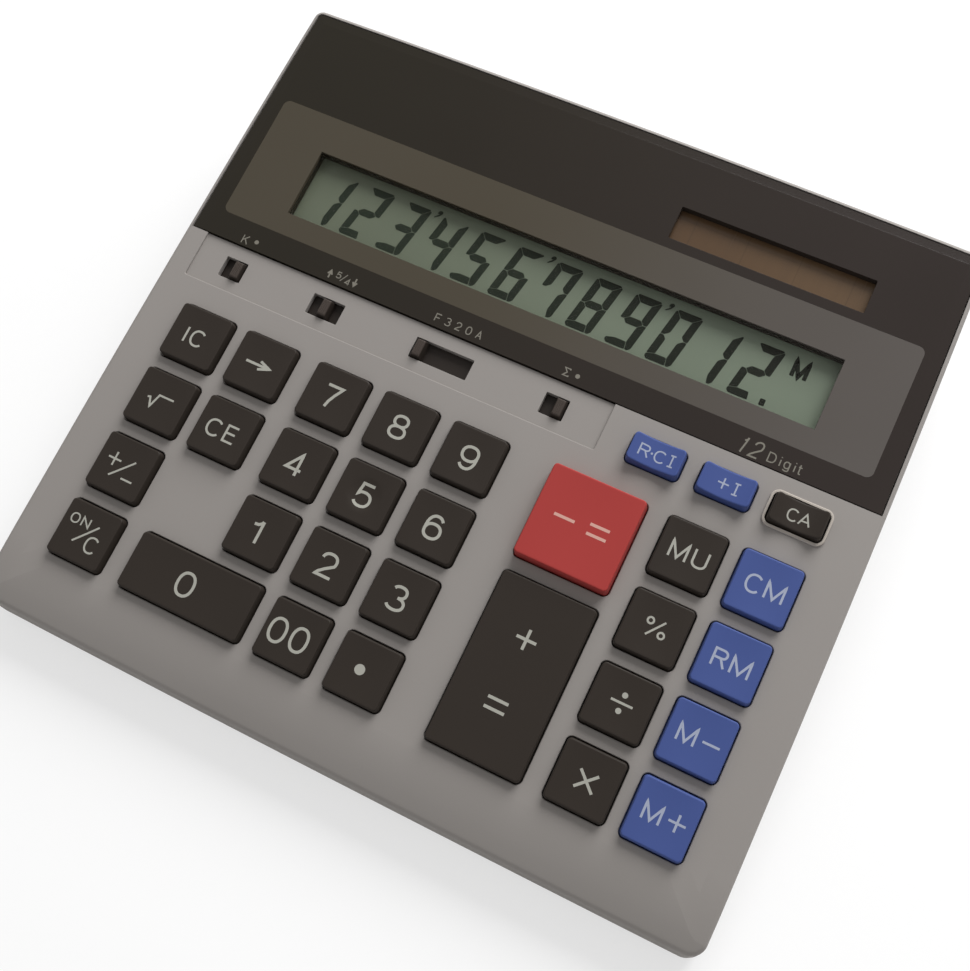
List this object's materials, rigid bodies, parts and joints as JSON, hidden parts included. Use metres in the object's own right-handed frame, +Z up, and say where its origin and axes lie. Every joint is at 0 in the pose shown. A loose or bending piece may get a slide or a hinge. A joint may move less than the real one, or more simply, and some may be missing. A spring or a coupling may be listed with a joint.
{
  "type": "desktop calculator",
  "caption": "Sloping desktop calculator with a dark display panel, liquid crystal display, solar cell, slide switches, raised square keys and a large plus key.",
  "frame": {"origin": "middle of the underside, on the surface that the feet stand on", "axes": "+X to the user's right along the keypad, +Y to the rear, towards the display, +Z up"},
  "size_m": [0.1918, 0.1792, 0.0358],
  "materials": {
    "case_grey": "fine matte moulded plastic, warm grey",
    "key_black": "satin double-shot key plastic, brown-black",
    "key_blue": "satin key plastic, violet-blue",
    "key_red": "satin key plastic, red",
    "knob_black": "satin moulded knob, brown-black",
    "bezel": "glossy back-printed panel, dark brown",
    "lens": "smoke-tinted clear acrylic strip",
    "lcd": "grey-green liquid crystal glass",
    "solar": "brown amorphous silicon cell with thin dividers",
    "board": "green printed circuit board",
    "mat_rubber": "pale silicone rubber contact mat",
    "rubber": "black conductive rubber",
    "foot_rubber": "black rubber feet",
    "inner_plastic": "white moulded frame",
    "cell_steel": "plain steel coin cell",
    "contact_brass": "stamped contact strip",
    "legend_ink": "pale grey legend ink",
    "segment_ink": "dark green liquid crystal segments",
    "screw_steel": "zinc-plated pan-head screws"
  },
  "bodies": {
    "case": {"top_case": "case_grey", "bottom_case": "case_grey", "display_bezel": "bezel", "display_lens": "lens", "lcd_glass": "lcd", "lcd_holder": "inner_plastic", "lcd_connector": "rubber", "solar_cell": "solar", "key_mat": "mat_rubber", "main_board": "board", "coin_cell": "cell_steel", "battery_contact_plus": "contact_brass", "battery_contact_minus": "contact_brass", "foot_front_left": "foot_rubber", "foot_front_right": "foot_rubber", "foot_rear_left": "foot_rubber", "foot_rear_right": "foot_rubber", "case_screw_1": "screw_steel", "case_screw_2": "screw_steel", "case_screw_3": "screw_steel", "case_screw_4": "screw_steel", "case_screw_5": "screw_steel", "case_screw_6": "screw_steel"},
    "key_backspace": {"key_backspace": "key_black"},
    "key_clear_all": {"key_clear_all": "key_black"},
    "key_clear_entry": {"key_clear_entry": "key_black"},
    "key_count_plus": {"key_count_plus": "key_blue"},
    "key_count_recall": {"key_count_recall": "key_blue"},
    "key_divide": {"key_divide": "key_black"},
    "key_double_zero": {"key_double_zero": "key_black"},
    "key_eight": {"key_eight": "key_black"},
    "key_five": {"key_five": "key_black"},
    "key_four": {"key_four": "key_black"},
    "key_item_count": {"key_item_count": "key_black"},
    "key_mark_up": {"key_mark_up": "key_black"},
    "key_memory_clear": {"key_memory_clear": "key_blue"},
    "key_memory_minus": {"key_memory_minus": "key_blue"},
    "key_memory_plus": {"key_memory_plus": "key_blue"},
    "key_memory_recall": {"key_memory_recall": "key_blue"},
    "key_minus_equals": {"key_minus_equals": "key_red"},
    "key_multiply": {"key_multiply": "key_black"},
    "key_nine": {"key_nine": "key_black"},
    "key_on_clear": {"key_on_clear": "key_black"},
    "key_one": {"key_one": "key_black"},
    "key_percent": {"key_percent": "key_black"},
    "key_plus_equals": {"key_plus_equals": "key_black"},
    "key_point": {"key_point": "key_black"},
    "key_seven": {"key_seven": "key_black"},
    "key_sign": {"key_sign": "key_black"},
    "key_six": {"key_six": "key_black"},
    "key_square_root": {"key_square_root": "key_black"},
    "key_three": {"key_three": "key_black"},
    "key_two": {"key_two": "key_black"},
    "key_zero": {"key_zero": "key_black"},
    "knob_constant": {"knob_constant": "knob_black"},
    "knob_rounding": {"knob_rounding": "knob_black"},
    "knob_decimals": {"knob_decimals": "knob_black"},
    "knob_grand_total": {"knob_grand_total": "knob_black"},
    "battery_cover": {"battery_cover": "case_grey"}
  },
  "joints": [
    {"name": "key_backspace_press", "type": "slide", "parent": "case", "child": "key_backspace", "axis": [0, -0.1219, 0.9925], "range_m": [-0.0018, 0], "stiffness_N_per_m": 300, "springref_m": 0.0005, "deforming": ["key_mat"]},
    {"name": "key_clear_all_press", "type": "slide", "parent": "case", "child": "key_clear_all", "axis": [0, -0.1219, 0.9925], "range_m": [-0.0018, 0], "stiffness_N_per_m": 300, "springref_m": 0.0005, "deforming": ["key_mat"]},
    {"name": "key_clear_entry_press", "type": "slide", "parent": "case", "child": "key_clear_entry", "axis": [0, -0.1219, 0.9925], "range_m": [-0.0018, 0], "stiffness_N_per_m": 300, "springref_m": 0.0005, "deforming": ["key_mat"]},
    {"name": "key_count_plus_press", "type": "slide", "parent": "case", "child": "key_count_plus", "axis": [0, -0.1219, 0.9925], "range_m": [-0.0018, 0], "stiffness_N_per_m": 300, "springref_m": 0.0005, "deforming": ["key_mat"]},
    {"name": "key_count_recall_press", "type": "slide", "parent": "case", "child": "key_count_recall", "axis": [0, -0.1219, 0.9925], "range_m": [-0.0018, 0], "stiffness_N_per_m": 300, "springref_m": 0.0005, "deforming": ["key_mat"]},
    {"name": "key_divide_press", "type": "slide", "parent": "case", "child": "key_divide", "axis": [0, -0.1219, 0.9925], "range_m": [-0.0018, 0], "stiffness_N_per_m": 300, "springref_m": 0.0005, "deforming": ["key_mat"]},
    {"name": "key_double_zero_press", "type": "slide", "parent": "case", "child": "key_double_zero", "axis": [0, -0.1219, 0.9925], "range_m": [-0.0018, 0], "stiffness_N_per_m": 300, "springref_m": 0.0005, "deforming": ["key_mat"]},
    {"name": "key_eight_press", "type": "slide", "parent": "case", "child": "key_eight", "axis": [0, -0.1219, 0.9925], "range_m": [-0.0018, 0], "stiffness_N_per_m": 300, "springref_m": 0.0005, "deforming": ["key_mat"]},
    {"name": "key_five_press", "type": "slide", "parent": "case", "child": "key_five", "axis": [0, -0.1219, 0.9925], "range_m": [-0.0018, 0], "stiffness_N_per_m": 300, "springref_m": 0.0005, "deforming": ["key_mat"]},
    {"name": "key_four_press", "type": "slide", "parent": "case", "child": "key_four", "axis": [0, -0.1219, 0.9925], "range_m": [-0.0018, 0], "stiffness_N_per_m": 300, "springref_m": 0.0005, "deforming": ["key_mat"]},
    {"name": "key_item_count_press", "type": "slide", "parent": "case", "child": "key_item_count", "axis": [0, -0.1219, 0.9925], "range_m": [-0.0018, 0], "stiffness_N_per_m": 300, "springref_m": 0.0005, "deforming": ["key_mat"]},
    {"name": "key_mark_up_press", "type": "slide", "parent": "case", "child": "key_mark_up", "axis": [0, -0.1219, 0.9925], "range_m": [-0.0018, 0], "stiffness_N_per_m": 300, "springref_m": 0.0005, "deforming": ["key_mat"]},
    {"name": "key_memory_clear_press", "type": "slide", "parent": "case", "child": "key_memory_clear", "axis": [0, -0.1219, 0.9925], "range_m": [-0.0018, 0], "stiffness_N_per_m": 300, "springref_m": 0.0005, "deforming": ["key_mat"]},
    {"name": "key_memory_minus_press", "type": "slide", "parent": "case", "child": "key_memory_minus", "axis": [0, -0.1219, 0.9925], "range_m": [-0.0018, 0], "stiffness_N_per_m": 300, "springref_m": 0.0005, "deforming": ["key_mat"]},
    {"name": "key_memory_plus_press", "type": "slide", "parent": "case", "child": "key_memory_plus", "axis": [0, -0.1219, 0.9925], "range_m": [-0.0018, 0], "stiffness_N_per_m": 300, "springref_m": 0.0005, "deforming": ["key_mat"]},
    {"name": "key_memory_recall_press", "type": "slide", "parent": "case", "child": "key_memory_recall", "axis": [0, -0.1219, 0.9925], "range_m": [-0.0018, 0], "stiffness_N_per_m": 300, "springref_m": 0.0005, "deforming": ["key_mat"]},
    {"name": "key_minus_equals_press", "type": "slide", "parent": "case", "child": "key_minus_equals", "axis": [0, -0.1219, 0.9925], "range_m": [-0.0018, 0], "stiffness_N_per_m": 300, "springref_m": 0.0005, "deforming": ["key_mat"]},
    {"name": "key_multiply_press", "type": "slide", "parent": "case", "child": "key_multiply", "axis": [0, -0.1219, 0.9925], "range_m": [-0.0018, 0], "stiffness_N_per_m": 300, "springref_m": 0.0005, "deforming": ["key_mat"]},
    {"name": "key_nine_press", "type": "slide", "parent": "case", "child": "key_nine", "axis": [0, -0.1219, 0.9925], "range_m": [-0.0018, 0], "stiffness_N_per_m": 300, "springref_m": 0.0005, "deforming": ["key_mat"]},
    {"name": "key_on_clear_press", "type": "slide", "parent": "case", "child": "key_on_clear", "axis": [0, -0.1219, 0.9925], "range_m": [-0.0018, 0], "stiffness_N_per_m": 300, "springref_m": 0.0005, "deforming": ["key_mat"]},
    {"name": "key_one_press", "type": "slide", "parent": "case", "child": "key_one", "axis": [0, -0.1219, 0.9925], "range_m": [-0.0018, 0], "stiffness_N_per_m": 300, "springref_m": 0.0005, "deforming": ["key_mat"]},
    {"name": "key_percent_press", "type": "slide", "parent": "case", "child": "key_percent", "axis": [0, -0.1219, 0.9925], "range_m": [-0.0018, 0], "stiffness_N_per_m": 300, "springref_m": 0.0005, "deforming": ["key_mat"]},
    {"name": "key_plus_equals_press", "type": "slide", "parent": "case", "child": "key_plus_equals", "axis": [0, -0.1219, 0.9925], "range_m": [-0.0018, 0], "stiffness_N_per_m": 300, "springref_m": 0.0005, "deforming": ["key_mat"]},
    {"name": "key_point_press", "type": "slide", "parent": "case", "child": "key_point", "axis": [0, -0.1219, 0.9925], "range_m": [-0.0018, 0], "stiffness_N_per_m": 300, "springref_m": 0.0005, "deforming": ["key_mat"]},
    {"name": "key_seven_press", "type": "slide", "parent": "case", "child": "key_seven", "axis": [0, -0.1219, 0.9925], "range_m": [-0.0018, 0], "stiffness_N_per_m": 300, "springref_m": 0.0005, "deforming": ["key_mat"]},
    {"name": "key_sign_press", "type": "slide", "parent": "case", "child": "key_sign", "axis": [0, -0.1219, 0.9925], "range_m": [-0.0018, 0], "stiffness_N_per_m": 300, "springref_m": 0.0005, "deforming": ["key_mat"]},
    {"name": "key_six_press", "type": "slide", "parent": "case", "child": "key_six", "axis": [0, -0.1219, 0.9925], "range_m": [-0.0018, 0], "stiffness_N_per_m": 300, "springref_m": 0.0005, "deforming": ["key_mat"]},
    {"name": "key_square_root_press", "type": "slide", "parent": "case", "child": "key_square_root", "axis": [0, -0.1219, 0.9925], "range_m": [-0.0018, 0], "stiffness_N_per_m": 300, "springref_m": 0.0005, "deforming": ["key_mat"]},
    {"name": "key_three_press", "type": "slide", "parent": "case", "child": "key_three", "axis": [0, -0.1219, 0.9925], "range_m": [-0.0018, 0], "stiffness_N_per_m": 300, "springref_m": 0.0005, "deforming": ["key_mat"]},
    {"name": "key_two_press", "type": "slide", "parent": "case", "child": "key_two", "axis": [0, -0.1219, 0.9925], "range_m": [-0.0018, 0], "stiffness_N_per_m": 300, "springref_m": 0.0005, "deforming": ["key_mat"]},
    {"name": "key_zero_press", "type": "slide", "parent": "case", "child": "key_zero", "axis": [0, -0.1219, 0.9925], "range_m": [-0.0018, 0], "stiffness_N_per_m": 300, "springref_m": 0.0005, "deforming": ["key_mat"]},
    {"name": "knob_constant_slide", "type": "slide", "parent": "case", "child": "knob_constant", "axis": [1, 0, 0], "range_m": [-0.0027, 0]},
    {"name": "knob_rounding_slide", "type": "slide", "parent": "case", "child": "knob_rounding", "axis": [1, 0, 0], "range_m": [-0.0027, 0.0027]},
    {"name": "knob_decimals_slide", "type": "slide", "parent": "case", "child": "knob_decimals", "axis": [1, 0, 0], "range_m": [0, 0.0124]},
    {"name": "knob_grand_total_slide", "type": "slide", "parent": "case", "child": "knob_grand_total", "axis": [1, 0, 0], "range_m": [-0.0027, 0]},
    {"name": "battery_cover_slide", "type": "slide", "parent": "case", "child": "battery_cover", "axis": [0, 1, 0], "range_m": [0, 0.026]}
  ]
}
